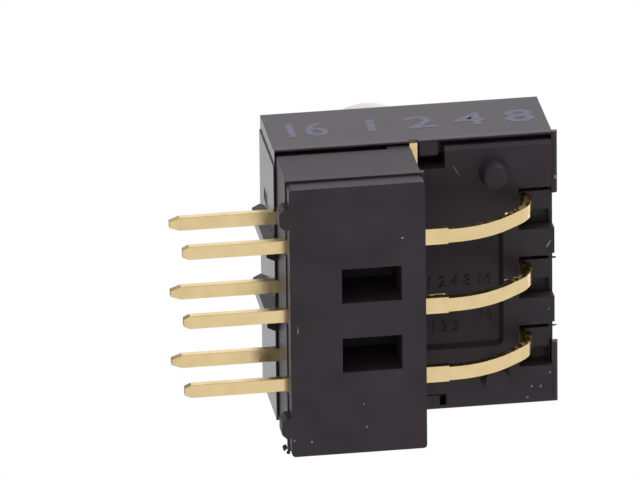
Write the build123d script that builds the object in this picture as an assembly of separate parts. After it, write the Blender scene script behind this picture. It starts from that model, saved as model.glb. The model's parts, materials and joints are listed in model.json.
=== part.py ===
from build123d import *
import os
from math import cos, radians, sin, sqrt, tan

# Rotary coded switch, side-set, with a shaft: sixteen positions in binary code.
#
# Millimetres. The switch stands on a circuit board. The origin is on the board's surface at
# the middle pin of the inner row. X runs along a row of pins, Y from the shaft's end (negative)
# to the pin holder (positive), and Z up from the board.

# ---------------------------------------------------------------- driving dimensions

# Pins and their sheet metal
PIN_PITCH = 2.54
ROW_PITCH = 2.54
SHEET = 0.25
PIN_WIDTH = 0.46
SHOULDER_WIDTH = 0.58
BOW_WIDTH = 0.495
INNER_PIN_LENGTH = 3.3
OUTER_PIN_LENGTH = 3.2
INNER_TIP_TAPER = 0.36
OUTER_TIP_TAPER = 0.22
INNER_TIP_WIDTH = 0.20
OUTER_TIP_WIDTH = 0.26

# Body
BODY_WIDTH = 9.9
BODY_HEIGHT = 9.6
HOUSING_DEPTH = 3.42
RIM_Y = 0.12
STANDOFF = 0.28
SIDE_WALL = 0.60
FRONT_WALL = 0.60
EDGE = 0.08

# Housing details
LIP_WALL = 0.12
LIP_END = 0.07
LIP_DEPTH = 0.40
LEAD_IN = 0.16
FLANGE_DEPTH = 0.25
FLANGE_SIDE = 0.04
FLANGE_TOP = 0.16
FLANGE_EDGE = 0.05
FLANGE_TOP_EDGE = 0.15
RIB_SPACING = 2.6
RIB_FOOT = 0.42
RIB_ROOT = 0.70
STEP_WIDTH = 0.53
STEP_DEPTH = 0.04
WINDOW_WIDTH = 5.54
HOOK_WIDTH = 0.64
HOOK_THICKNESS = 0.47
HOOK_OFFSET = 0.52
HOOK_LEAD = 0.10
POCKET = (0.45, 0.80, 0.05)
POCKET_X = 2.5
POCKET_Y = -1.8

# Base
BASE_PROUD = 0.22
BASE_DEPTH = 1.79
BEVEL_WIDTH = 0.105
BEVEL_DEPTH = 0.17
FIT = 0.02
PLATE_FIT = 0.055
SIDE_NOTCH_WIDTH = 2.08
SIDE_NOTCH_IN = (0.63, 0.91)
SIDE_NOTCH_DEPTH = 1.20
TERMINAL_NOTCH_WIDTH = 1.60
TERMINAL_NOTCH_IN = 1.23
TERMINAL_NOTCH_SHIFT = -0.17
TERMINAL_BED_WIDTH = 0.71
TERMINAL_BED_SHIFT = -0.105
TERMINAL_POCKET_DEPTH = 1.60
TERMINAL_POCKET_WALL = 0.13
BOSS_DIAMETER = 1.03
BOSS_HEIGHT = 0.53
BOSS_DRAFT = 12.0
BOSS_INSET = 1.20
BOSS_BELOW_TOP = 2.08
PANEL_WIDTH = 4.35
PANEL_HEIGHT = 6.06
PANEL_SHIFT = -0.49
PANEL_DEPTH = 0.19
PANEL_SLOPE = 34.0
PANEL_CORNER = 0.15

# Rotor
SHAFT_DIAMETER = 4.0
SHAFT_LENGTH = 7.6
SHAFT_CHAMFER = 0.20
JOURNAL_STEP = 0.20
JOURNAL_CLEARANCE = 0.05
SLOT_WIDTH = 0.80
SLOT_DEPTH = 0.90
POINTER_LENGTH = 1.10
POINTER_WIDTH = 1.30
POINTER_DEPTH = 0.30
WHEEL_DIAMETER = 7.6
WHEEL_THICKNESS = 0.60
WHEEL_GAP = 0.22
POSITIONS = 16
DETENT_DEPTH = 0.25
DETENT_RADIUS = 0.50
PIVOT_DIAMETER = 1.00
PIVOT_CLEARANCE = 0.03
PIVOT_IN_BASE = 0.20
KEY_DIAMETER = 0.60
KEY_RADIUS = 2.3
KEY_CLEARANCE = 0.01

# Shaft seal
SEAL_SECTION = 0.50
SEAL_CORNER = 0.10
SEAL_BORE_CLEARANCE = 0.04
SEAL_SEAT_CLEARANCE = 0.04
SEAL_SEAT_DEPTH = 0.35

# Detent spring
SPRING_THICKNESS = 0.10
SPRING_WIDTH = 0.50
SPRING_LENGTH = 6.6
SPRING_BUMP = 1.5
SPRING_BEND = 0.35
SPRING_LIFT = 0.05
SPRING_SEAT = 0.03

# Code tracks and moving contact
TRACK_RADII = {"common": 1.00, "8": 1.55, "4": 2.10, "2": 2.65, "1": 3.20}
TRACK_WIDTH = 0.36
CARRIER = 0.13
PAD_REACH = 8.0
CONTACT_SHEET = 0.12
CONTACT_DIAMETER = 7.0
ARM_WIDTH = 0.30
ARM_LENGTH = 1.30
ARM_GAP = 0.05
ARM_WINDOW_MARGIN = 0.12

# Lead frame inside the base
LEAD_WIDTH = 0.40
TIE_BAR_WIDTH = 0.28
LEG_WIDTH = 0.30

# Bow of the long terminals
BOW_DROP = 1.84
BOW_SLOPE = 40.0
BOW_RADIUS = 3.2
BOW_SHOULDER_RADIUS = 1.35
BOW_FOOT_RADIUS = 0.30
BOW_CLEARANCE = 0.165
SHOULDER_ABOVE_HOLDER = 0.91

# Pin holder and its cover
HOLDER_INSET = 0.07
HOLDER_FOOT = 0.37
HOLDER_BELOW_SHAFT = 0.13
HOLDER_BEHIND_ROW = 0.22
LEDGE = 0.085
LEDGE_DEPTH = 0.22
TAB_WIDTH = 0.76
TAB_DEPTH = 0.22
TAB_BELOW_TOP = 0.03
CHANNEL_CLEARANCE = 0.02
COVER_INSET = 0.05
COVER_FOOT = 0.33
COVER_BELOW_LEDGE = 0.07
COVER_THICKNESS = 0.66
COVER_CORNER = 0.13
WINDOW_SIZE = (1.25, 2.04)
WINDOW_RISE = 0.46
WINDOW_DEPTH = 2.15
LUG_WIDTH = 0.74
LUG_INSET = 1.065
LUG_CHAMFER = 0.15
COVER_PEG_DIAMETER = 0.90
COVER_PEG_LENGTH = 0.90
COVER_PEG_INSET = 1.08

# ---------------------------------------------------------------- worked out from them

SHAFT_Z = STANDOFF + BODY_HEIGHT / 2
BODY_TOP = STANDOFF + BODY_HEIGHT
FRONT_Y = RIM_Y - HOUSING_DEPTH
CAVITY_Y = FRONT_Y + FRONT_WALL
LIP_Y = RIM_Y - LIP_DEPTH
BASE_BACK = RIM_Y + BASE_PROUD
BASE_INNER = BASE_BACK - BASE_DEPTH
CAVITY_WIDTH = BODY_WIDTH - 2 * SIDE_WALL
CAVITY_HEIGHT = BODY_HEIGHT - 2 * SIDE_WALL
PLATE_X = (FIT + LIP_WALL - BODY_WIDTH / 2, BODY_WIDTH / 2 - LIP_WALL - PLATE_FIT)
PLATE_Z = (STANDOFF + LIP_END + FIT, BODY_TOP - LIP_END - FIT)
WHEEL_FRONT = CAVITY_Y + WHEEL_GAP
WHEEL_BACK = WHEEL_FRONT + WHEEL_THICKNESS
WHEEL_RADIUS = WHEEL_DIAMETER / 2
SHAFT_RADIUS = SHAFT_DIAMETER / 2
JOURNAL_RADIUS = SHAFT_RADIUS + JOURNAL_STEP
SHAFT_END = FRONT_Y - SHAFT_LENGTH
BOSS_X = BODY_WIDTH / 2 - BOSS_INSET
BOSS_Z = BODY_TOP - BOSS_BELOW_TOP
TRACK_BACK = BASE_INNER + SHEET
NOTCH_Z = BODY_TOP - TERMINAL_NOTCH_IN
BOW_Z = NOTCH_Z + BOW_CLEARANCE + SHEET / 2
BOW_START = BOW_Z - BOW_DROP
HOLDER_WIDTH = BODY_WIDTH - 2 * HOLDER_INSET
HOLDER_TOP = SHAFT_Z - HOLDER_BELOW_SHAFT
HOLDER_MIDDLE = (HOLDER_FOOT + HOLDER_TOP) / 2
HOLDER_BACK = ROW_PITCH + HOLDER_BEHIND_ROW
COVER_WIDTH = BODY_WIDTH - 2 * COVER_INSET
COVER_TOP = HOLDER_TOP + LEDGE - COVER_BELOW_LEDGE
COVER_BACK = HOLDER_BACK + COVER_THICKNESS
COVER_PEG_X = COVER_WIDTH / 2 - COVER_PEG_INSET
LUG_X = COVER_WIDTH / 2 - LUG_INSET
STEP_ANGLE = 360 / POSITIONS
PIN_X = (-PIN_PITCH, 0, PIN_PITCH)


# ---------------------------------------------------------------- helpers

def block(x, y, z):
    """A box from its low and high corner along each axis."""
    size = (x[1] - x[0], y[1] - y[0], z[1] - z[0])
    return Pos(x[0], y[0], z[0]) * Box(*size, align=(Align.MIN, Align.MIN, Align.MIN))


def centred(x_centre, width, y, z):
    """A box given by its middle and width along X."""
    return block((x_centre - width / 2, x_centre + width / 2), y, z)


def face_plane(y, x=0, z=SHAFT_Z):
    """A plane with its normal along +Y; its angles turn from +X to -Z."""
    return Plane(origin=(x, y, z), x_dir=(1, 0, 0), z_dir=(0, 1, 0))


def disc(radius, y, x=0, z=SHAFT_Z):
    """A round bar along Y between the two values of y."""
    return extrude(face_plane(y[0], x, z) * Circle(radius), y[1] - y[0])


def wedge(corners, z):
    """A three-sided bar along Z from its corners in the (X, Y) plane."""
    outline = Polyline(*corners, close=True)
    return extrude(Plane.XY.offset(z[0]) * make_face(outline), z[1] - z[0])


def bent_strip(points, radii, width, x):
    """A strip of sheet that follows a bent path in the (Y, Z) plane at the place x."""
    path = Plane.YZ.offset(x) * FilletPolyline(*points, radius=radii)
    start = Plane(origin=path @ 0, x_dir=(1, 0, 0), z_dir=path % 0)
    return sweep(start * Rectangle(width, SHEET), path=path)


def pin_blade(x, y, tip_z, top_z, taper, tip_width):
    """A flat pin of sheet with a tapered tip that points down."""
    half, tip = PIN_WIDTH / 2, tip_width / 2
    outline = Polyline((-half, top_z), (-half, tip_z + taper), (-tip, tip_z), (tip, tip_z),
                       (half, tip_z + taper), (half, top_z), close=True)
    plane = Plane(origin=(x, y + SHEET / 2, 0), x_dir=(1, 0, 0), z_dir=(0, -1, 0))
    return extrude(plane * make_face(outline), SHEET)


def sector(radius, start, end):
    """A curved pad of a code track, between two angles about the shaft."""
    outer = CenterArc((0, 0), radius + TRACK_WIDTH / 2, start, end - start)
    inner = CenterArc((0, 0), radius - TRACK_WIDTH / 2, start, end - start)
    sides = [Line(outer @ 0, inner @ 0), Line(outer @ 1, inner @ 1)]
    return make_face([outer, inner, *sides])


def ring(radius, y):
    """A full ring of a code track between the two values of y."""
    face = Circle(radius + TRACK_WIDTH / 2) - Circle(radius - TRACK_WIDTH / 2)
    return extrude(face_plane(y[0]) * face, y[1] - y[0])


def pad_runs(bit):
    """First and last position of each run in which this bit of the code is set."""
    positions = [p for p in range(POSITIONS) if p & bit]
    starts = [p for p in positions if p - 1 not in positions]
    return [(p, p + bit - 1) for p in starts]


def code_track(bit):
    """The contact ring of one bit: raised pads, flush with the base, on a sunk carrier."""
    radius = TRACK_RADII[str(bit)]
    track = ring(radius, (TRACK_BACK - CARRIER, TRACK_BACK))
    for first, last in pad_runs(bit):
        pad = sector(radius, first * STEP_ANGLE - PAD_REACH, last * STEP_ANGLE + PAD_REACH)
        track += extrude(face_plane(BASE_INNER) * pad, SHEET)
    return track


# ---------------------------------------------------------------- terminals

def long_terminal(x, bit):
    """A terminal that leaves the base's upper edge and bows over the back to the outer row."""
    radius = TRACK_RADII[str(bit)]
    track_z = SHAFT_Z + sqrt(max(radius**2 - x**2, 0))
    shoulder_y = ROW_PITCH - BOW_DROP * tan(radians(BOW_SLOPE))
    bow = bent_strip([(ROW_PITCH, HOLDER_TOP), (ROW_PITCH, BOW_START),
                      (shoulder_y, BOW_Z), (0, BOW_Z), (0, BOW_Z - 2 * BOW_FOOT_RADIUS)],
                     [BOW_RADIUS, BOW_SHOULDER_RADIUS, BOW_FOOT_RADIUS], BOW_WIDTH, x)
    pin = pin_blade(x, ROW_PITCH, -OUTER_PIN_LENGTH, HOLDER_FOOT, OUTER_TIP_TAPER, OUTER_TIP_WIDTH)
    shoulder = centred(x, SHOULDER_WIDTH, (ROW_PITCH - SHEET / 2, ROW_PITCH + SHEET / 2),
                       (HOLDER_FOOT, HOLDER_TOP + SHOULDER_ABOVE_HOLDER))
    lead = centred(x, LEAD_WIDTH, (-SHEET / 2, SHEET / 2),
                   (track_z - LEG_WIDTH / 2, BOW_Z - 2 * BOW_FOOT_RADIUS))
    return bow + pin + shoulder + lead + leg_to_track(x, track_z) + code_track(bit)


def short_pin(x, top_z):
    """A straight pin of the inner row with its lead up the back of the base."""
    blade = pin_blade(x, 0, -INNER_PIN_LENGTH, STANDOFF + SIDE_WALL, INNER_TIP_TAPER,
                      INNER_TIP_WIDTH)
    lead = centred(x, LEAD_WIDTH, (-SHEET / 2, SHEET / 2), (STANDOFF + SIDE_WALL, top_z))
    return blade + lead


def leg_to_track(x, z):
    """A folded leg from the inner row's plane down to the back of a code track."""
    return centred(x, LEG_WIDTH, (TRACK_BACK, SHEET / 2), (z - LEG_WIDTH / 2, z + LEG_WIDTH / 2))


def terminal_with_tie_bar():
    """The terminal of bit 4, with the cut end of the lead frame's tie bar at its top."""
    top = SHAFT_Z + TIE_BAR_WIDTH / 2
    radius = TRACK_RADII["4"]
    bar = block((radius - LEG_WIDTH / 2, BODY_WIDTH / 2), (-SHEET / 2, SHEET / 2),
                (top - TIE_BAR_WIDTH, top))
    return short_pin(PIN_PITCH, top) + bar + leg_to_track(radius, SHAFT_Z) + code_track(4)


def common_terminal():
    """Both common pins, joined across the lead frame, and the innermost track."""
    radius = TRACK_RADII["common"]
    track_z = SHAFT_Z - radius
    top = track_z + LEAD_WIDTH / 2
    bridge = block((-PIN_PITCH - LEAD_WIDTH / 2, LEAD_WIDTH / 2),
                   (-SHEET / 2, SHEET / 2), (top - LEAD_WIDTH, top))
    track = ring(radius, (BASE_INNER, TRACK_BACK))
    return short_pin(-PIN_PITCH, top) + short_pin(0, top) + bridge + leg_to_track(0, track_z) + track


# ---------------------------------------------------------------- moulded body

def terminal_pockets():
    """The two deep pockets beside each long terminal, at the base's upper edge."""
    pockets = []
    for x in PIN_X:
        notch, bed = x + TERMINAL_NOTCH_SHIFT, x + TERMINAL_BED_SHIFT
        sides = ((notch - TERMINAL_NOTCH_WIDTH / 2, bed - TERMINAL_BED_WIDTH / 2),
                 (bed + TERMINAL_BED_WIDTH / 2, notch + TERMINAL_NOTCH_WIDTH / 2))
        pockets += [block(side, (BASE_BACK - TERMINAL_POCKET_DEPTH, BASE_BACK),
                          (NOTCH_Z, BODY_TOP - TERMINAL_POCKET_WALL)) for side in sides]
    return pockets


def body_block(width, height, y):
    """A block centred on the shaft's axis."""
    half = height / 2
    return centred(0, width, y, (SHAFT_Z - half, SHAFT_Z + half))


def housing():
    """The cover: front wall, side walls, back lip, ribs and snap hooks."""
    half = BODY_WIDTH / 2
    shell = body_block(BODY_WIDTH, BODY_HEIGHT, (FRONT_Y, RIM_Y))
    front_edges = shell.faces().sort_by(Axis.Y)[0].edges()
    shell = chamfer(front_edges, EDGE)

    # Thin flange round the back rim, prouder at the two upper corners.
    flange = centred(0, BODY_WIDTH + 2 * FLANGE_SIDE, (RIM_Y - FLANGE_DEPTH, RIM_Y),
                     (STANDOFF, BODY_TOP + FLANGE_TOP))
    back_edges = flange.faces().sort_by(Axis.Y)[-1].edges()
    flange = chamfer(back_edges.filter_by(Axis.Z), FLANGE_EDGE)
    top_edge = flange.faces().sort_by(Axis.Y)[-1].edges().sort_by(Axis.Z)[-1]
    shell += fillet(top_edge, FLANGE_TOP_EDGE)

    shell -= body_block(CAVITY_WIDTH, CAVITY_HEIGHT, (CAVITY_Y, RIM_Y))
    lip_z = (STANDOFF + LIP_END, BODY_TOP - LIP_END)
    shell -= centred(0, BODY_WIDTH - 2 * LIP_WALL, (LIP_Y, RIM_Y), lip_z)
    shell -= centred(0, WINDOW_WIDTH, (BASE_INNER, RIM_Y),
                     (SHAFT_Z + CAVITY_HEIGHT / 2, BODY_TOP + FLANGE_TOP))

    # Hole for the rotor's journal with the seal's seat on its inner side.
    shell -= disc(JOURNAL_RADIUS + JOURNAL_CLEARANCE, (FRONT_Y, CAVITY_Y))
    seat = JOURNAL_RADIUS + SEAL_BORE_CLEARANCE + SEAL_SECTION + SEAL_SEAT_CLEARANCE
    shell -= disc(seat, (CAVITY_Y - SEAL_SEAT_DEPTH, CAVITY_Y))

    # Slots in the lower lip that let the inner row of pins out.
    for x in PIN_X:
        shell -= centred(x, PIN_WIDTH + 2 * FIT, (-SHEET / 2 - FIT, RIM_Y),
                         (STANDOFF, STANDOFF + LIP_END))

    for pocket in terminal_pockets():
        shell -= pocket

    # Lead-in for the base along the inner side of the lip on the tie bar's side.
    lip = half - LIP_WALL
    shell -= wedge(((lip, RIM_Y), (half, RIM_Y), (lip, RIM_Y - LEAD_IN)), lip_z)

    # Slot in the side lip for the cut end of the tie bar.
    tie_z = (SHAFT_Z - TIE_BAR_WIDTH / 2 - FIT, SHAFT_Z + TIE_BAR_WIDTH / 2 + FIT)
    shell -= block((half - LIP_WALL, half + FLANGE_SIDE), (-SHEET / 2 - FIT, RIM_Y), tie_z)

    # Shallow step along one edge of the board side, and a small pocket.
    shell -= block((half - STEP_WIDTH, half + FLANGE_SIDE), (FRONT_Y, RIM_Y),
                   (STANDOFF, STANDOFF + STEP_DEPTH))
    pocket_y = (POCKET_Y - POCKET[1] / 2, POCKET_Y + POCKET[1] / 2)
    shell -= centred(POCKET_X, POCKET[0], pocket_y, (STANDOFF, STANDOFF + POCKET[2]))

    # Stand-off ribs on the board side.
    for x in (-RIB_SPACING / 2, RIB_SPACING / 2):
        outline = Polyline((x - RIB_ROOT / 2, STANDOFF), (x - RIB_FOOT / 2, 0),
                           (x + RIB_FOOT / 2, 0), (x + RIB_ROOT / 2, STANDOFF), close=True)
        shell += extrude(Plane.XZ.offset(-RIM_Y) * make_face(outline), HOUSING_DEPTH)

    # Snap hooks in the side notches of the base.
    hook_z = (SHAFT_Z + HOOK_OFFSET - HOOK_WIDTH / 2, SHAFT_Z + HOOK_OFFSET + HOOK_WIDTH / 2)
    for side in (-1, 1):
        low, high = sorted((side * (lip - HOOK_THICKNESS), side * half))
        hook = block((low, high), (LIP_Y - SIDE_WALL, RIM_Y), hook_z)
        inner_x = side * (lip - HOOK_THICKNESS)
        nose = hook.edges().filter_by(Axis.Z).group_by(Axis.Y)[-1]
        nose = nose.sort_by(lambda edge: abs(edge.center().X - inner_x))[0]
        shell += chamfer(nose, HOOK_LEAD)
    return shell


def base(inserts):
    """The back plate, moulded round the lead frame."""
    plate = block(PLATE_X, (LIP_Y, BASE_BACK), PLATE_Z)
    plate += body_block(CAVITY_WIDTH - 2 * FIT, CAVITY_HEIGHT - 2 * FIT, (BASE_INNER, LIP_Y))
    plate += centred(0, WINDOW_WIDTH - 2 * FIT, (BASE_INNER, BASE_BACK), (SHAFT_Z, BODY_TOP))

    # Bevel along the edge on the tie bar's side.
    edge = PLATE_X[1]
    plate -= wedge(((edge, BASE_BACK), (edge - BEVEL_WIDTH, BASE_BACK), (edge, BASE_BACK - BEVEL_DEPTH)),
                   PLATE_Z)

    # Shallow panel with sloping sides, recessed in the back face.
    slope = PANEL_DEPTH * tan(radians(PANEL_SLOPE))
    floor = RectangleRounded(PANEL_WIDTH - 2 * slope, PANEL_HEIGHT - 2 * slope, PANEL_CORNER)
    panel = face_plane(BASE_BACK - PANEL_DEPTH, PANEL_SHIFT) * floor
    plate -= extrude(panel, PANEL_DEPTH, taper=-PANEL_SLOPE)

    # Notches at the upper edge. Each long terminal lies on a bed with a deep pocket on each side.
    for x in PIN_X:
        plate -= centred(x + TERMINAL_NOTCH_SHIFT, TERMINAL_NOTCH_WIDTH, (-SHEET / 2, BASE_BACK),
                         (NOTCH_Z, BODY_TOP))
    for pocket in terminal_pockets():
        plate -= pocket

    # Notches in both sides for the snap hooks and the pin holder's tabs.
    notch_z = (SHAFT_Z - SIDE_NOTCH_WIDTH / 2, SHAFT_Z + SIDE_NOTCH_WIDTH / 2)
    notch_y = (BASE_BACK - SIDE_NOTCH_DEPTH, BASE_BACK)
    for side, notch_in in zip((-1, 1), SIDE_NOTCH_IN):
        low, high = sorted((side * (BODY_WIDTH / 2 - notch_in), side * BODY_WIDTH / 2))
        plate -= block((low, high), notch_y, notch_z)

    # Two round bosses with draft, and the bearing of the rotor's pivot.
    for x in (-BOSS_X, BOSS_X):
        foot = face_plane(BASE_BACK, x, BOSS_Z) * Circle(BOSS_DIAMETER / 2)
        plate += extrude(foot, BOSS_HEIGHT, taper=BOSS_DRAFT)
    plate -= disc(PIVOT_DIAMETER / 2 + PIVOT_CLEARANCE,
                  (BASE_INNER, BASE_INNER + PIVOT_IN_BASE + FIT))

    for insert in inserts:
        plate -= insert
    return plate


# ---------------------------------------------------------------- rotor and what it carries

def key_points():
    """Places of the two keys that hold the moving contact on the wheel."""
    return [(-KEY_RADIUS * cos(radians(a)), SHAFT_Z + KEY_RADIUS * sin(radians(a))) for a in (-50, 50)]


def rotor():
    """Shaft, journal, detent wheel, pivot and keys in one moulding."""
    shaft = disc(SHAFT_RADIUS, (SHAFT_END, FRONT_Y))
    shaft = chamfer(shaft.faces().sort_by(Axis.Y)[0].edges(), SHAFT_CHAMFER)
    wheel = disc(WHEEL_RADIUS, (WHEEL_FRONT, WHEEL_BACK))
    notch = disc(DETENT_RADIUS, (WHEEL_FRONT, WHEEL_BACK),
                 WHEEL_RADIUS + DETENT_RADIUS - DETENT_DEPTH)
    about_shaft = Axis((0, 0, SHAFT_Z), (0, 1, 0))
    for position in range(POSITIONS):
        wheel -= notch.rotate(about_shaft, position * STEP_ANGLE)
    turned = shaft + disc(JOURNAL_RADIUS, (FRONT_Y, WHEEL_FRONT)) + wheel

    # Screwdriver slot across the shaft's end, with a pointer at its upper end.
    slot_y = (SHAFT_END, SHAFT_END + SLOT_DEPTH)
    turned -= centred(0, SLOT_WIDTH, slot_y, (SHAFT_Z - SHAFT_RADIUS, SHAFT_Z + SHAFT_RADIUS))
    tip_z = SHAFT_RADIUS - SHAFT_CHAMFER
    arrow = Polyline((-POINTER_WIDTH / 2, tip_z - POINTER_LENGTH), (0, tip_z),
                     (POINTER_WIDTH / 2, tip_z - POINTER_LENGTH), close=True)
    arrow_plane = Plane(origin=(0, SHAFT_END, SHAFT_Z), x_dir=(1, 0, 0), z_dir=(0, -1, 0))
    turned -= extrude(arrow_plane * make_face(arrow), -POINTER_DEPTH)

    # Pivot in the base, and keys through the moving contact.
    turned += disc(PIVOT_DIAMETER / 2, (WHEEL_BACK, BASE_INNER + PIVOT_IN_BASE))
    for x, z in key_points():
        turned += disc(KEY_DIAMETER / 2, (WHEEL_BACK, WHEEL_BACK + CONTACT_SHEET), x, z)
    return turned


def moving_contact():
    """A stamped disc whose five spring arms each rub on one code track."""
    sheet_y = (WHEEL_BACK, WHEEL_BACK + CONTACT_SHEET)
    plate = disc(CONTACT_DIAMETER / 2, sheet_y) - disc(PIVOT_DIAMETER / 2 + KEY_CLEARANCE, sheet_y)
    for x, z in key_points():
        plate -= disc(KEY_DIAMETER / 2 + KEY_CLEARANCE, sheet_y, x, z)
    radii = sorted(TRACK_RADII.values())
    window_x = (radii[0] - ARM_WIDTH / 2 - ARM_WINDOW_MARGIN, radii[-1] + ARM_WIDTH / 2 + ARM_WINDOW_MARGIN)
    window_z = (SHAFT_Z - ARM_LENGTH, SHAFT_Z + ARM_WIDTH)
    plate -= block(window_x, sheet_y, window_z)

    # Each arm slopes from the plate to its track, where its end turns up.
    root = WHEEL_BACK
    tip = BASE_INNER - ARM_GAP - CONTACT_SHEET
    side_view = Polyline((root, window_z[0] - CONTACT_SHEET), (root, window_z[0]), (tip, SHAFT_Z),
                         (root, SHAFT_Z + ARM_WIDTH / 2),
                         (root + CONTACT_SHEET, SHAFT_Z + ARM_WIDTH / 2),
                         (tip + CONTACT_SHEET, SHAFT_Z),
                         (root + CONTACT_SHEET, window_z[0] - CONTACT_SHEET), close=True)
    for radius in radii:
        profile = Plane.YZ.offset(radius - ARM_WIDTH / 2) * make_face(side_view)
        plate += extrude(profile, ARM_WIDTH)
    return plate


def detent_spring():
    """A leaf spring with a bump, drawn lifted as when it rides over a tooth."""
    seat = SHAFT_Z + CAVITY_HEIGHT / 2 - SPRING_SEAT - SPRING_THICKNESS / 2
    bump = SHAFT_Z + WHEEL_RADIUS + SPRING_LIFT + SPRING_THICKNESS / 2
    reach, half = SPRING_BUMP / 2, SPRING_LENGTH / 2
    path = Plane.XZ * FilletPolyline((-half, seat), (-reach, seat), (0, bump), (reach, seat),
                                     (half, seat), radius=SPRING_BEND)
    middle = (WHEEL_FRONT + WHEEL_BACK) / 2
    start = Plane(origin=path @ 0, x_dir=(0, 1, 0), z_dir=path % 0)
    leaf = sweep(start * Rectangle(SPRING_WIDTH, SPRING_THICKNESS), path=path)
    return Pos(0, middle, 0) * leaf


def shaft_seal():
    """A rubber ring of square section round the journal, with broken corners."""
    front = CAVITY_Y - SEAL_SEAT_DEPTH + SEAL_SEAT_CLEARANCE
    seal_y = (front, front + SEAL_SECTION)
    bore = JOURNAL_RADIUS + SEAL_BORE_CLEARANCE
    seal = disc(bore + SEAL_SECTION, seal_y) - disc(bore, seal_y)
    return chamfer(seal.edges().filter_by(GeomType.CIRCLE), SEAL_CORNER)


# ---------------------------------------------------------------- pin holder

def windows(y):
    """The two rectangular windows beside the middle pin."""
    width, height = WINDOW_SIZE
    low = HOLDER_MIDDLE + WINDOW_RISE - height / 2
    return [centred(x, width, y, (low, low + height)) for x in (-PIN_PITCH / 2, PIN_PITCH / 2)]


def pin_holder():
    """The block behind the body that lines up the outer row, with a ledge round its back."""
    holder = centred(0, HOLDER_WIDTH, (BASE_BACK, HOLDER_BACK), (HOLDER_FOOT, HOLDER_TOP))
    holder += centred(0, HOLDER_WIDTH + 2 * LEDGE, (HOLDER_BACK - LEDGE_DEPTH, HOLDER_BACK),
                      (HOLDER_FOOT - LEDGE, HOLDER_TOP + LEDGE))
    tab_z = (HOLDER_TOP - TAB_BELOW_TOP - TAB_WIDTH, HOLDER_TOP - TAB_BELOW_TOP)
    for side, notch_in in zip((-1, 1), SIDE_NOTCH_IN):
        low, high = sorted((side * (BODY_WIDTH / 2 - notch_in + FIT), side * HOLDER_WIDTH / 2))
        holder += block((low, high), (BASE_BACK - TAB_DEPTH, BASE_BACK), tab_z)

    # Channels for the three outer terminals, windows, and holes for the cover's pegs.
    channel_y = (ROW_PITCH - SHEET / 2 - CHANNEL_CLEARANCE, HOLDER_BACK)
    for x in PIN_X:
        holder -= centred(x, SHOULDER_WIDTH + 2 * CHANNEL_CLEARANCE, channel_y, (0, SHAFT_Z))
    for cut in windows((COVER_BACK - WINDOW_DEPTH, HOLDER_BACK)):
        holder -= cut
    hole_y = (HOLDER_BACK - COVER_PEG_LENGTH - CHANNEL_CLEARANCE, HOLDER_BACK)
    for x in (-COVER_PEG_X, COVER_PEG_X):
        holder -= disc(COVER_PEG_DIAMETER / 2 + CHANNEL_CLEARANCE, hole_y, x, HOLDER_MIDDLE)
    return holder


def holder_cover():
    """The plate that closes the holder, with a bar that backs each outer terminal."""
    cover = centred(0, COVER_WIDTH, (HOLDER_BACK, COVER_BACK), (COVER_FOOT, COVER_TOP))
    cover = fillet(cover.edges().filter_by(Axis.Y), COVER_CORNER)
    for x in (-LUG_X, LUG_X):
        lug = centred(x, LUG_WIDTH, (HOLDER_BACK, COVER_BACK), (0, HOLDER_FOOT))
        cover += chamfer(lug.faces().sort_by(Axis.Z)[0].edges().filter_by(Axis.Y), LUG_CHAMFER)
    for cut in windows((HOLDER_BACK, COVER_BACK)):
        cover -= cut
    bar_y = (ROW_PITCH + SHEET / 2 + CHANNEL_CLEARANCE, HOLDER_BACK)
    for x in PIN_X:
        cover += centred(x, SHOULDER_WIDTH, bar_y, (COVER_FOOT, COVER_TOP))
    for x in (-COVER_PEG_X, COVER_PEG_X):
        cover += disc(COVER_PEG_DIAMETER / 2, (HOLDER_BACK - COVER_PEG_LENGTH, HOLDER_BACK),
                      x, HOLDER_MIDDLE)
    return cover


# ---------------------------------------------------------------- the whole switch

def main():
    terminals = {
        "terminal_1": long_terminal(PIN_PITCH, 1),
        "terminal_2": long_terminal(-PIN_PITCH, 2),
        "terminal_8": long_terminal(0, 8),
        "terminal_4": terminal_with_tie_bar(),
        "terminal_common": common_terminal(),
    }
    nodes = {
        "housing": housing(),
        "base": base(terminals.values()),
        "rotor": rotor(),
        "moving_contact": moving_contact(),
        "detent_spring": detent_spring(),
        "shaft_seal": shaft_seal(),
        "pin_holder": pin_holder(),
        "holder_cover": holder_cover(),
        **terminals,
    }
    os.makedirs("parts", exist_ok=True)
    for name, shape in nodes.items():
        export_step(shape, f"parts/{name}.step")


main()
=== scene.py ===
import json
from math import cos, radians, sin

import bpy
import bmesh
from mathutils import Matrix, Vector, noise


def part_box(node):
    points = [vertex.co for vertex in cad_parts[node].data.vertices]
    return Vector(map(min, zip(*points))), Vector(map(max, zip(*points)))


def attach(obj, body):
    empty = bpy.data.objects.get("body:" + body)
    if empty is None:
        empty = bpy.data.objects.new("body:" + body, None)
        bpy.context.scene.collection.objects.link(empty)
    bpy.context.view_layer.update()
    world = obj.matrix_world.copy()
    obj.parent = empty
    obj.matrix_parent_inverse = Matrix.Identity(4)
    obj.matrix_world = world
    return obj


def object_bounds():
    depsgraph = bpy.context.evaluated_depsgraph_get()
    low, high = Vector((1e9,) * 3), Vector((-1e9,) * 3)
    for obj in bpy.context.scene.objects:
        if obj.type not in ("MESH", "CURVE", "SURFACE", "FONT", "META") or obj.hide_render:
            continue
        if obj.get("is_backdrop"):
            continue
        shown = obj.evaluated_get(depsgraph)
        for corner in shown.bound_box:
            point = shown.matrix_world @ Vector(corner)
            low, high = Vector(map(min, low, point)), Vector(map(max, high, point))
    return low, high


# The looks of a rotary coded switch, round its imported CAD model. Metres, in the CAD frame:
# X along a row of pins, -Y towards the shaft's end, Z up from the circuit board.

MM = 0.001

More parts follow.
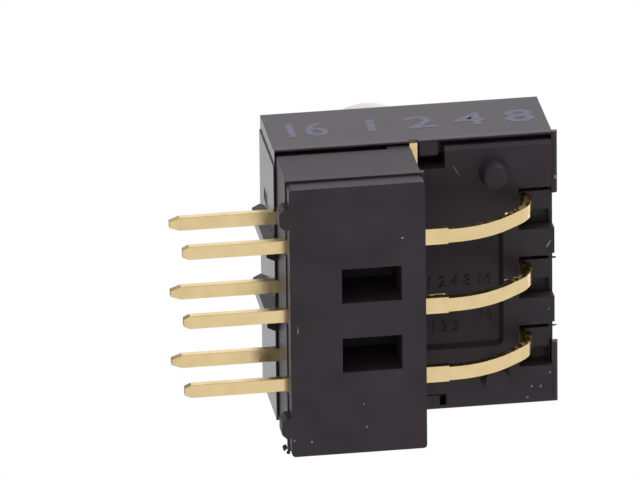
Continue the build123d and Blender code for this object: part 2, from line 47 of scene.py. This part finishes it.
# Camera: where it stands round the switch, and how far it is rolled about its own axis
CAMERA_AZIMUTH = 23.386
CAMERA_ELEVATION = -7.6
CAMERA_ROLL = 86.05
CAMERA_DISTANCE = 0.4
CAMERA_AIM = Vector((1.19, -0.86, 1.99)) * MM
CAMERA_LENS = 661.0
CAMERA_SENSOR = 36.0
CAMERA_CLIP = (0.01, 10.0)

# Light: the sky's level all round and beyond the shaft, where along Y it changes, its dip
# straight out from the shaft, its levels and tints from -X to +X, and one soft lamp
SKY_NEAR = 0.47
SKY_FAR = 1.75
SKY_EDGE = (-0.92, -0.55)
SKY_MIDDLE = (-0.975, -0.935)
SKY_MIDDLE_LEVEL = 0.6
SKY_SIDES = (1.7, 0.6)
SKY_SIDES_SPAN = (-0.45, 0.45)
SKY_TINTS = (0.99, 0.97, 1.0, 1), (0.98, 0.96, 1.03, 1)
SKY_TINTS_SPAN = (-0.6, 0.6)
LAMP_ENERGY = 0.9
LAMP_SIZE = 0.30
LAMP_DISTANCE = 0.45
LAMP_TOWARDS = (0.75, -0.25, 0.62)
FLOOR_RADIUS = 3.0
FLOOR_SEGMENTS = 96
FLOOR_COLOUR = (0.86, 0.86, 0.86, 1)

# Materials: the plastics' IOR, the samples of their soft edges, and along Z where the plated
# strip's sheared edges grow dark and where a painted highlight lightens those edges at its bends
PLASTIC_IOR = 1.36
EDGE_SAMPLES = 6
SHEARED_RISE = (0.0, 1.5 * MM)
BEND_RISE = (7.9 * MM, 8.5 * MM)

# Plain numbers printed on the housing and moulded in the base's sunk panel: name, text, shares
# of the node's box from the low corner to the high one, width and height in mm
PRINTED = (
    ("print_positions", "16", (0.996, 0.658, 0.102), 1.38, 1.22),
    ("print_codes", "1 2 4 8", (0.996, 0.637, 0.374), 5.75, 1.05),
)
MOULDED = (
    ("mould_row_a", "1 2 4 8 16", (0.455, 0.690, 0.548), 2.15, 0.40),
    ("mould_row_b", "16", (0.320, 0.690, 0.736), 0.40, 0.38),
    ("mould_row_c", "1 2 3", (0.283, 0.690, 0.563), 0.85, 0.38),
)

# How far the numbers stand out in mm, how bold they are, and the points on their curves
PRINT_RAISED, PRINT_BOLD = 0.006, 0.016
MOULD_RAISED, MOULD_BOLD = 0.05, 0.0
DIGIT_CURVE = 3

# Crumbs, burrs and score lines: name, finish, node, shares of its box, direction of its length,
# then half its length, width and height in mm
ACROSS, ALONG, UP = (1, 0, 0), (0, 1, 0), (0, 0, 1)
MARKS = (
    ("speck_1", "dust", "holder_cover", (0.797, 1.0, 0.842), UP, (0.055, 0.030, 0.020)),
    ("speck_2", "dust", "holder_cover", (0.053, 1.0, 0.204), ACROSS, (0.045, 0.035, 0.020)),
    ("speck_3", "dust", "holder_cover", (0.062, 1.0, 0.084), UP, (0.035, 0.030, 0.015)),
    ("speck_4", "dust", "holder_cover", (0.096, 1.0, 0.585), UP, (0.040, 0.030, 0.015)),
    ("speck_5", "dust", "holder_cover", (0.183, 1.0, 0.566), ACROSS, (0.035, 0.025, 0.015)),
    ("speck_6", "dust", "holder_cover", (0.476, 1.0, 0.117), ACROSS, (0.120, 0.016, 0.010)),
    ("speck_7", "dust", "base", (0.057, 0.772, 0.915), ACROSS, (0.050, 0.035, 0.020)),
    ("speck_8", "dust", "base", (0.055, 0.772, 0.948), ACROSS, (0.045, 0.030, 0.020)),
    ("speck_9", "dust", "base", (0.106, 0.772, 0.982), UP, (0.040, 0.030, 0.020)),
    ("speck_10", "dust", "base", (0.015, 0.772, 0.900), UP, (0.040, 0.030, 0.020)),
    ("speck_11", "dust", "base", (0.353, 0.772, 0.979), UP, (0.030, 0.025, 0.015)),
    ("scuff_1", "dust", "pin_holder", (0.688, 0.72, 0.018), (0.25, 1, 0), (0.170, 0.060, 0.012)),
    ("scuff_2", "dust", "pin_holder", (0.645, 0.66, 0.018), (-0.3, 1, 0), (0.120, 0.040, 0.012)),
    ("scuff_3", "dust", "pin_holder", (0.597, 0.29, 0.018), (0.5, 1, 0), (0.110, 0.030, 0.012)),
    ("scuff_4", "dust", "pin_holder", (0.336, 0.28, 0.018), (0.6, 1, 0), (0.130, 0.045, 0.012)),
    ("score_1", "dust", "base", (0.910, 0.772, 0.646), (-0.89, 0, 0.46), (0.250, 0.010, 0.006)),
    ("score_2", "dust", "base", (0.606, 0.772, 0.979), (0.85, 0, 0.53), (0.150, 0.022, 0.012)),
    ("chip_1", "dust", "housing", (0.835, 1.000, 0.990), ACROSS, (0.060, 0.050, 0.050)),
    ("flash_1", "black_holder", "holder_cover", (0.012, 0.603, 0.034), UP, (0.080, 0.100, 0.060)),
    ("flash_2", "black_holder", "holder_cover", (0.006, 0.80, 0.050), UP, (0.060, 0.060, 0.070)),
    ("burr_1", "burr", "terminal_1", (0.913, 0.770, 0.912), UP, (0.060, 0.040, 0.035)),
    ("burr_2", "burr", "terminal_2", (0.552, 0.936, 0.709), UP, (0.340, 0.030, 0.030)),
    ("burr_3", "burr", "terminal_2", (0.548, 0.717, 0.913), UP, (0.060, 0.025, 0.025)),
    ("burr_4", "burr", "terminal_2", (0.548, 0.683, 0.940), UP, (0.045, 0.025, 0.025)),
    ("flash_3", "base", "base", (0.551, 0.758, 0.995), UP, (0.110, 0.035, 0.030)),
    ("flash_4", "base", "base", (0.288, 0.758, 0.995), UP, (0.120, 0.030, 0.030)),
)

# How uneven those marks are, and how fine the unevenness is
MARK_UNEVEN, MARK_GRAIN = 0.55, 1.4

# Floors and webs in the notches of the three long terminals: their places from the terminal's
# middle along X, and below the base's face along Y, in mm
PIN_X = (2.54, 0.0, -2.54)
BASE_PROUD = 0.22
NOTCH_SPAN = (1.25, 0.11)
NOTCH_FILLS = (
    ("pocket_floor", (-1.00, -0.44), (-0.78, -0.66)),
    ("slit_floor", (0.258, 0.66), (-0.80, -0.68)),
    ("slit_web", (0.555, 0.66), (-0.16, -0.03)),
)

SLAB_UNEVEN, SLAB_GRAIN = 0.035 * MM, 0.30 * MM

# The pad in the dimple of the housing's lower face: its middle and half its size, in mm
DIMPLE = (2.5, -1.8, 0.34)
DIMPLE_HALF = (0.235, 0.41, 0.045)
DIMPLE_SEED = 7

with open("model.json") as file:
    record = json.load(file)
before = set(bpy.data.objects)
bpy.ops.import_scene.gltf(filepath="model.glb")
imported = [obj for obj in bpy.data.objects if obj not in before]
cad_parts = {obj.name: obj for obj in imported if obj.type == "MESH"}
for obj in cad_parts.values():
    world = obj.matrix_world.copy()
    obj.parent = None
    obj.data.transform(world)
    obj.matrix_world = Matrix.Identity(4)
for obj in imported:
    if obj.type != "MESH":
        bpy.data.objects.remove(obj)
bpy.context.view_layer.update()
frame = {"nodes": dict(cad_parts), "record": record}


# ---------------------------------------------------------------- node helpers

class Tree:
    """A material's or world's nodes, with short ways to add and join them."""

    def __init__(self, tree):
        self.tree = tree

    def add(self, kind, inputs=None, **settings):
        made = self.tree.nodes.new(kind)
        for name, value in settings.items():
            setattr(made, name, value)
        for name, value in (inputs or {}).items():
            self.put(made.inputs[name], value)
        return made

    def put(self, socket, value):
        if isinstance(value, bpy.types.NodeSocket):
            self.tree.links.new(value, socket)
        else:
            socket.default_value = value

    def math(self, operation, first, second=0.0):
        made = self.add("ShaderNodeMath", operation=operation)
        self.put(made.inputs[0], first)
        self.put(made.inputs[1], second)
        return made.outputs[0]

    def mix(self, share, first, second):
        made = self.add("ShaderNodeMix", data_type="RGBA")
        self.put(made.inputs["Factor"], share)
        self.put(made.inputs[6], first)
        self.put(made.inputs[7], second)
        return made.outputs[2]

    def spread(self, value, low, high, to_low=0.0, to_high=1.0):
        made = self.add("ShaderNodeMapRange", {"Value": value, "From Min": low, "From Max": high,
                                               "To Min": to_low, "To Max": to_high})
        return made.outputs[0]

    def noise(self, vector, size, detail=2.0, roughness=0.5):
        """Noise whose features are about this size, in metres."""
        made = self.add("ShaderNodeTexNoise",
                        {"Vector": vector, "Scale": 1 / size, "Detail": detail,
                         "Roughness": roughness})
        return made.outputs["Fac"]

    def bump(self, height, depth, normal=None):
        """Bumps this deep, in metres."""
        made = self.add("ShaderNodeBump", {"Height": height, "Distance": depth, "Strength": 1.0})
        if normal is not None:
            self.put(made.inputs["Normal"], normal)
        return made.outputs["Normal"]

    def soft_edge(self, radius):
        """Normals that round the edges by this radius, in metres."""
        made = self.add("ShaderNodeBevel", {"Radius": radius}, samples=EDGE_SAMPLES)
        return made.outputs["Normal"]


def new_material(name):
    made = bpy.data.materials.new(name)
    made.use_nodes = True
    tree = Tree(made.node_tree)
    shader = made.node_tree.nodes["Principled BSDF"]
    place = tree.add("ShaderNodeTexCoord").outputs["Object"]
    return made, tree, shader, place


# ---------------------------------------------------------------- materials

def black_plastic(name, colour, roughness):
    """Glass-filled moulding: near black, slightly glossy, with grain, faint flow and dust."""
    made, tree, shader, place = new_material(name)
    flow = tree.noise(place, 1.6 * MM, detail=3)
    grain = tree.noise(place, 0.05 * MM, detail=2)
    specks = tree.spread(tree.noise(place, 0.11 * MM, detail=1), 0.74, 0.80)
    pale = tree.mix(tree.spread(flow, 0.3, 0.7), colour, [1.5 * c for c in colour[:3]] + [1])
    dusty = tree.mix(tree.math("MULTIPLY", specks, 0.25), pale, (0.10, 0.10, 0.10, 1))
    rough = tree.math("ADD", tree.spread(flow, 0.3, 0.7, roughness - 0.04, roughness + 0.04),
                      tree.spread(grain, 0.3, 0.7, -0.03, 0.03))
    soft_edge = tree.soft_edge(0.035 * MM)
    normal = tree.bump(flow, 0.004 * MM, tree.bump(grain, 0.0006 * MM, soft_edge))
    shader.inputs["IOR"].default_value = PLASTIC_IOR
    tree.put(shader.inputs["Base Color"], dusty)
    tree.put(shader.inputs["Roughness"], rough)
    tree.put(shader.inputs["Normal"], normal)
    return made


def gold_plate(name, edged=1.0):
    """Gold plated strip: rolled faces bright, sheared edges brown and rough, with a painted
    highlight in streaks on them at the bends.
    """
    made, tree, shader, place = new_material(name)
    along = tree.add("ShaderNodeMapping", {"Vector": place, "Scale": (1.0, 1.0, 0.06)}).outputs[0]
    drawn = tree.noise(along, 0.03 * MM, detail=2)
    cloud = tree.noise(place, 0.5 * MM, detail=3)
    facing = tree.add("ShaderNodeTexCoord").outputs["Normal"]
    across = tree.add("ShaderNodeSeparateXYZ", {"Vector": facing}).outputs["X"]
    height = tree.add("ShaderNodeSeparateXYZ", {"Vector": place}).outputs["Z"]
    sheared = tree.math("MULTIPLY", tree.spread(tree.math("ABSOLUTE", across), 0.55, 0.85),
                        tree.spread(height, *SHEARED_RISE, 0.12 * edged, edged))
    bright = tree.mix(tree.spread(cloud, 0.35, 0.65),
                      (0.97, 0.77, 0.41, 1), (0.93, 0.72, 0.365, 1))
    through = tree.add("ShaderNodeMapping",
                       {"Vector": place, "Scale": (1.0, 0.35, 1.0)}).outputs[0]
    streaks = tree.spread(tree.noise(through, 0.15 * MM, detail=1), 0.46, 0.62)
    # Painted highlight: lighter streaks on the sheared edges at the bends, where those edges
    # catch the light
    painted_bend_glint = tree.math("MULTIPLY", streaks,
                          tree.spread(height, *BEND_RISE, 0.12, 1.0))
    torn_edge_and_glint = tree.mix(painted_bend_glint, (0.085, 0.056, 0.022, 1), (0.55, 0.38, 0.16, 1))
    colour = tree.mix(sheared, bright, torn_edge_and_glint)
    rough = tree.math("ADD", tree.spread(cloud, 0.3, 0.7, 0.16, 0.24),
                      tree.math("MULTIPLY", sheared, 0.40))
    soft_edge = tree.soft_edge(0.025 * MM)
    normal = tree.bump(drawn, 0.0008 * MM, tree.bump(cloud, 0.006 * MM, soft_edge))
    shader.inputs["Metallic"].default_value = 1.0
    tree.put(shader.inputs["Base Color"], colour)
    tree.put(shader.inputs["Roughness"], rough)
    tree.put(shader.inputs["Normal"], normal)
    return made


def cream_plastic(name):
    """Unfilled cream moulding, satin, with light passing a little way in."""
    made, tree, shader, place = new_material(name)
    flow = tree.noise(place, 1.2 * MM, detail=3)
    grain = tree.noise(place, 0.04 * MM, detail=2)
    colour = tree.mix(tree.spread(flow, 0.3, 0.7),
                      (0.845, 0.84, 0.745, 1), (0.865, 0.862, 0.775, 1))
    soft_edge = tree.soft_edge(0.05 * MM)
    shader.inputs["Subsurface Weight"].default_value = 0.15
    shader.inputs["Subsurface Scale"].default_value = 0.4 * MM
    shader.inputs["Subsurface Radius"].default_value = (1.0, 0.85, 0.6)
    tree.put(shader.inputs["Base Color"], colour)
    tree.put(shader.inputs["Roughness"], tree.spread(grain, 0.3, 0.7, 0.38, 0.48))
    tree.put(shader.inputs["Normal"], tree.bump(grain, 0.0012 * MM, soft_edge))
    return made


def spring_steel(name):
    """Rolled strip with fine lines along its length."""
    made, tree, shader, place = new_material(name)
    along = tree.add("ShaderNodeMapping", {"Vector": place, "Scale": (0.05, 1.0, 1.0)}).outputs[0]
    lines = tree.noise(along, 0.02 * MM, detail=3)
    colour = tree.mix(tree.spread(lines, 0.3, 0.7), (0.58, 0.58, 0.59, 1), (0.68, 0.68, 0.68, 1))
    shader.inputs["Metallic"].default_value = 1.0
    tree.put(shader.inputs["Base Color"], colour)
    tree.put(shader.inputs["Roughness"], tree.spread(lines, 0.3, 0.7, 0.24, 0.36))
    tree.put(shader.inputs["Normal"], tree.bump(lines, 0.001 * MM))
    return made


def seal_rubber(name):
    """Matt moulded rubber."""
    made, tree, shader, place = new_material(name)
    grain = tree.noise(place, 0.04 * MM, detail=3)
    colour = tree.mix(tree.spread(grain, 0.3, 0.7),
                      (0.018, 0.018, 0.018, 1), (0.035, 0.034, 0.033, 1))
    tree.put(shader.inputs["Base Color"], colour)
    tree.put(shader.inputs["Roughness"], tree.spread(grain, 0.3, 0.7, 0.62, 0.78))
    tree.put(shader.inputs["Normal"], tree.bump(grain, 0.003 * MM))
    return made


def print_ink(name):
    """Pad printed ink, pale blue grey and a little worn."""
    made, tree, shader, place = new_material(name)
    worn = tree.spread(tree.noise(place, 0.25 * MM, detail=4, roughness=0.7), 0.35, 0.65)
    colour = tree.mix(worn, (0.085, 0.080, 0.125, 1), (0.150, 0.145, 0.225, 1))
    tree.put(shader.inputs["Base Color"], colour)
    tree.put(shader.inputs["Roughness"], tree.spread(worn, 0, 1, 0.22, 0.34))
    tree.put(shader.inputs["Normal"], tree.bump(worn, 0.002 * MM))
    shader.inputs["IOR"].default_value = PLASTIC_IOR
    return made


def pale_dust(name):
    """Dust and scuffed plastic, pale and matt."""
    made, tree, shader, place = new_material(name)
    clumps = tree.spread(tree.noise(place, 0.03 * MM, detail=3), 0.35, 0.65)
    tree.put(shader.inputs["Base Color"],
             tree.mix(clumps, (0.16, 0.15, 0.15, 1), (0.50, 0.49, 0.49, 1)))
    tree.put(shader.inputs["Roughness"], tree.spread(clumps, 0, 1, 0.6, 0.9))
    tree.put(shader.inputs["Normal"], tree.bump(clumps, 0.004 * MM))
    return made


def dress():
    """Gives each CAD node the material of its slot."""
    looks = {
        "black_housing": black_plastic("housing_black", (0.030, 0.024, 0.027, 1), 0.13),
        "black_holder": black_plastic("holder_black", (0.031, 0.025, 0.028, 1), 0.40),
        "base": black_plastic("base_black", (0.031, 0.025, 0.028, 1), 0.42),
        "cream_rotor": cream_plastic("rotor_cream"),
        "gold_plate": gold_plate("plated_strip"),
        "spring_steel": spring_steel("spring_strip"),
        "seal_rubber": seal_rubber("seal_black"),
    }
    for part in frame["record"]["subparts"]:
        node = frame["nodes"][part["node"]]
        node.data.materials.clear()
        node.data.materials.append(looks.get(part["node"], looks[part["material_slot"]]))
    return looks


# ---------------------------------------------------------------- small pieces

def spot(node, shares):
    """A point in a node's box, by its share of the way from the low corner to the high one."""
    low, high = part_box(node)
    return Vector(low[i] + (high[i] - low[i]) * shares[i] for i in range(3))


def seeded(seed):
    """Where in the noise a piece with this seed is taken from."""
    return Vector((seed, 2 * seed, 3 * seed))


def add_piece(name, shape, material):
    """Makes a piece of this shape that moves with the body."""
    mesh = bpy.data.meshes.new(name)
    shape.to_mesh(mesh)
    shape.free()
    mesh.materials.append(material)
    piece = bpy.data.objects.new(name, mesh)
    bpy.context.scene.collection.objects.link(piece)
    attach(piece, "body")


def add_number(name, text, corner, right, up, size, raised, bold, material):
    """Plain digits on a face, from their lower left corner, standing up from it a little."""
    curve = bpy.data.curves.new(name, "FONT")
    curve.body = text
    curve.extrude = 1.0
    curve.offset = bold
    curve.resolution_u = DIGIT_CURVE
    drawn = bpy.data.objects.new(name, curve)
    bpy.context.scene.collection.objects.link(drawn)
    bpy.context.view_layer.update()
    mesh = bpy.data.meshes.new_from_object(drawn)
    bpy.data.objects.remove(drawn)
    bpy.data.curves.remove(curve)
    shape = bmesh.new()
    shape.from_mesh(mesh)
    bpy.data.meshes.remove(mesh)
    bmesh.ops.remove_doubles(shape, verts=shape.verts, dist=1e-5)
    spans = [(min(v.co[i] for v in shape.verts), max(v.co[i] for v in shape.verts))
             for i in (0, 1)]
    out = right.cross(up)
    for vertex in shape.verts:
        shares = [(vertex.co[i] - low) / (high - low) for i, (low, high) in enumerate(spans)]
        vertex.co = (corner + right * shares[0] * size[0] * MM + up * shares[1] * size[1] * MM
                     + out * raised * MM * (1 if vertex.co.z > 0 else -1))
    add_piece(name, shape, material)


def add_mark(name, centre, along, size, seed, material, slot):
    """A crumb, burr or score line: an uneven lump, drawn out one way and tapered at its ends."""
    along = Vector(along).normalized()
    out = Vector(ALONG if abs(along.y) < 0.5 else UP)
    side = out.cross(along)
    shape = bmesh.new()
    bmesh.ops.create_icosphere(shape, subdivisions=3, radius=1.0)
    for vertex in shape.verts:
        uneven = 1 + MARK_UNEVEN * noise.noise(vertex.co * MARK_GRAIN + seeded(seed))
        shares = vertex.co * uneven
        vertex.co = centre + MM * (along * shares.x * size[0] + side * shares.y * size[1]
                                   + out * shares.z * size[2])
    add_piece(name, shape, material)


def add_slab(name, low, high, seed, material):
    """A moulded floor or web between two corners, with uneven faces."""
    shape = bmesh.new()
    bmesh.ops.create_cube(shape, size=1.0)
    bmesh.ops.subdivide_edges(shape, edges=shape.edges, cuts=9, use_grid_fill=True)
    for vertex in shape.verts:
        place = Vector(low[i] + (high[i] - low[i]) * (vertex.co[i] + 0.5) for i in range(3))
        uneven = noise.noise_vector(place / SLAB_GRAIN + seeded(seed))
        vertex.co = place + SLAB_UNEVEN * uneven
    add_piece(name, shape, material)


def fill_notches(looks):
    """The floors and thin webs of flash in the notches that the long terminals come out of."""
    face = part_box("housing")[1].y + BASE_PROUD * MM
    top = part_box("base")[1].z
    for number, pin in enumerate(PIN_X, 1):
        for kind, across, deep in NOTCH_FILLS:
            low = ((pin + across[0]) * MM, face + deep[0] * MM, top - NOTCH_SPAN[0] * MM)
            high = ((pin + across[1]) * MM, face + deep[1] * MM, top - NOTCH_SPAN[1] * MM)
            add_slab(f"{kind}_{number}", low, high, number, looks["base"])


def fill_dimple(looks):
    """The rough pad that nearly fills the dimple in the housing's lower face."""
    low = [middle - half for middle, half in zip(DIMPLE, DIMPLE_HALF)]
    high = [middle + half for middle, half in zip(DIMPLE, DIMPLE_HALF)]
    add_slab("dimple_pad", [v * MM for v in low], [v * MM for v in high], DIMPLE_SEED,
             looks["black_holder"])


def details(looks):
    """Plain numbers, dust, burrs and flash."""
    fill_notches(looks)
    fill_dimple(looks)
    ink, dust = print_ink("ink_pale"), pale_dust("dust_pale")
    for name, text, shares, width, height in PRINTED:
        add_number(name, text, spot("housing", shares), Vector(UP), -Vector(ALONG),
                   (width, height), PRINT_RAISED, PRINT_BOLD, ink)
    for name, text, shares, width, height in MOULDED:
        add_number(name, text, spot("base", shares), Vector(UP), Vector(ACROSS),
                   (width, height), MOULD_RAISED, MOULD_BOLD, looks["base"])
    finishes = {
        "dust": (dust, "cream_rotor"),
        "burr": (gold_plate("plated_burr", edged=0.0), "gold_plate"),
        "base": (looks["base"], "black_housing"),
        "black_holder": (looks["black_holder"], "black_holder"),
    }
    for seed, (name, finish, node, shares, along, size) in enumerate(MARKS):
        add_mark(name, spot(node, shares), along, size, seed, *finishes[finish])


# ---------------------------------------------------------------- light, floor and camera

def light():
    """A shaped sky, plain white to the camera alone, and one soft lamp."""
    sky = bpy.data.worlds.new("studio")
    sky.use_nodes = True
    sky.node_tree.nodes.clear()
    tree = Tree(sky.node_tree)
    bpy.context.scene.world = sky
    heading = tree.add("ShaderNodeTexCoord").outputs["Generated"]
    side = tree.add("ShaderNodeSeparateXYZ", {"Vector": heading})
    depth = tree.math("MULTIPLY", tree.spread(side.outputs["Y"], *SKY_EDGE, SKY_FAR, SKY_NEAR),
                      tree.spread(side.outputs["Y"], *SKY_MIDDLE, SKY_MIDDLE_LEVEL, 1.0))
    level = tree.math("MULTIPLY", depth,
                      tree.spread(side.outputs["X"], *SKY_SIDES_SPAN, *SKY_SIDES))
    tint = tree.mix(tree.spread(side.outputs["X"], *SKY_TINTS_SPAN), *SKY_TINTS)
    grey = tree.add("ShaderNodeBackground", {"Color": tint, "Strength": level}).outputs[0]
    white = tree.add("ShaderNodeBackground", {"Color": (1, 1, 1, 1), "Strength": 1.0}).outputs[0]
    seen = tree.add("ShaderNodeLightPath").outputs["Is Camera Ray"]
    both = tree.add("ShaderNodeMixShader", {"Fac": seen})
    tree.put(both.inputs[1], grey)
    tree.put(both.inputs[2], white)
    tree.add("ShaderNodeOutputWorld", {"Surface": both.outputs[0]})

    lamp = bpy.data.lights.new("soft_lamp", "AREA")
    lamp.shape = "DISK"
    lamp.size = LAMP_SIZE
    lamp.energy = LAMP_ENERGY
    placed = bpy.data.objects.new("soft_lamp", lamp)
    bpy.context.scene.collection.objects.link(placed)
    towards = Vector(LAMP_TOWARDS).normalized()
    placed.location = towards * LAMP_DISTANCE
    placed.rotation_euler = towards.to_track_quat("Z", "Y").to_euler()


def floor():
    """A pale disc under the pins' tips. It is seen from above only."""
    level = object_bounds()[0].z - 0.05 * MM
    mesh = bpy.data.meshes.new("floor")
    shape = bmesh.new()
    bmesh.ops.create_circle(shape, cap_ends=True, segments=FLOOR_SEGMENTS, radius=FLOOR_RADIUS)
    shape.to_mesh(mesh)
    shape.free()
    plate = bpy.data.objects.new("floor", mesh)
    plate.location.z = level
    bpy.context.scene.collection.objects.link(plate)
    made, tree, shader, _ = new_material("floor_pale")
    tree.put(shader.inputs["Base Color"], FLOOR_COLOUR)
    shader.inputs["Roughness"].default_value = 0.9
    shader.inputs["Specular IOR Level"].default_value = 0.0
    clear = tree.add("ShaderNodeBsdfTransparent").outputs[0]
    below = tree.add("ShaderNodeNewGeometry").outputs["Backfacing"]
    both = tree.add("ShaderNodeMixShader", {"Fac": below})
    tree.put(both.inputs[1], shader.outputs[0])
    tree.put(both.inputs[2], clear)
    tree.put(made.node_tree.nodes["Material Output"].inputs["Surface"], both.outputs[0])
    mesh.materials.append(made)
    plate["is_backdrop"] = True


def camera():
    """A long lens low behind the switch, rolled so that the pins point to the left."""
    data = bpy.data.cameras.new("camera")
    data.lens = CAMERA_LENS
    data.sensor_width = CAMERA_SENSOR
    data.clip_start, data.clip_end = CAMERA_CLIP
    placed = bpy.data.objects.new("camera", data)
    bpy.context.scene.collection.objects.link(placed)
    azimuth, elevation, roll = map(radians, (CAMERA_AZIMUTH, CAMERA_ELEVATION, CAMERA_ROLL))
    back = Vector((sin(azimuth) * cos(elevation), cos(azimuth) * cos(elevation), sin(elevation)))
    level = Vector((0, 0, 1)).cross(back).normalized()
    right = level * cos(roll) + back.cross(level) * sin(roll)
    turn = Matrix((right, back.cross(right), back)).transposed()
    placed.matrix_world = Matrix.Translation(CAMERA_AIM + back * CAMERA_DISTANCE) @ turn.to_4x4()
    bpy.context.scene.camera = placed


def main():
    bpy.context.scene.view_settings.view_transform = "Standard"
    details(dress())
    light()
    floor()
    camera()


main()
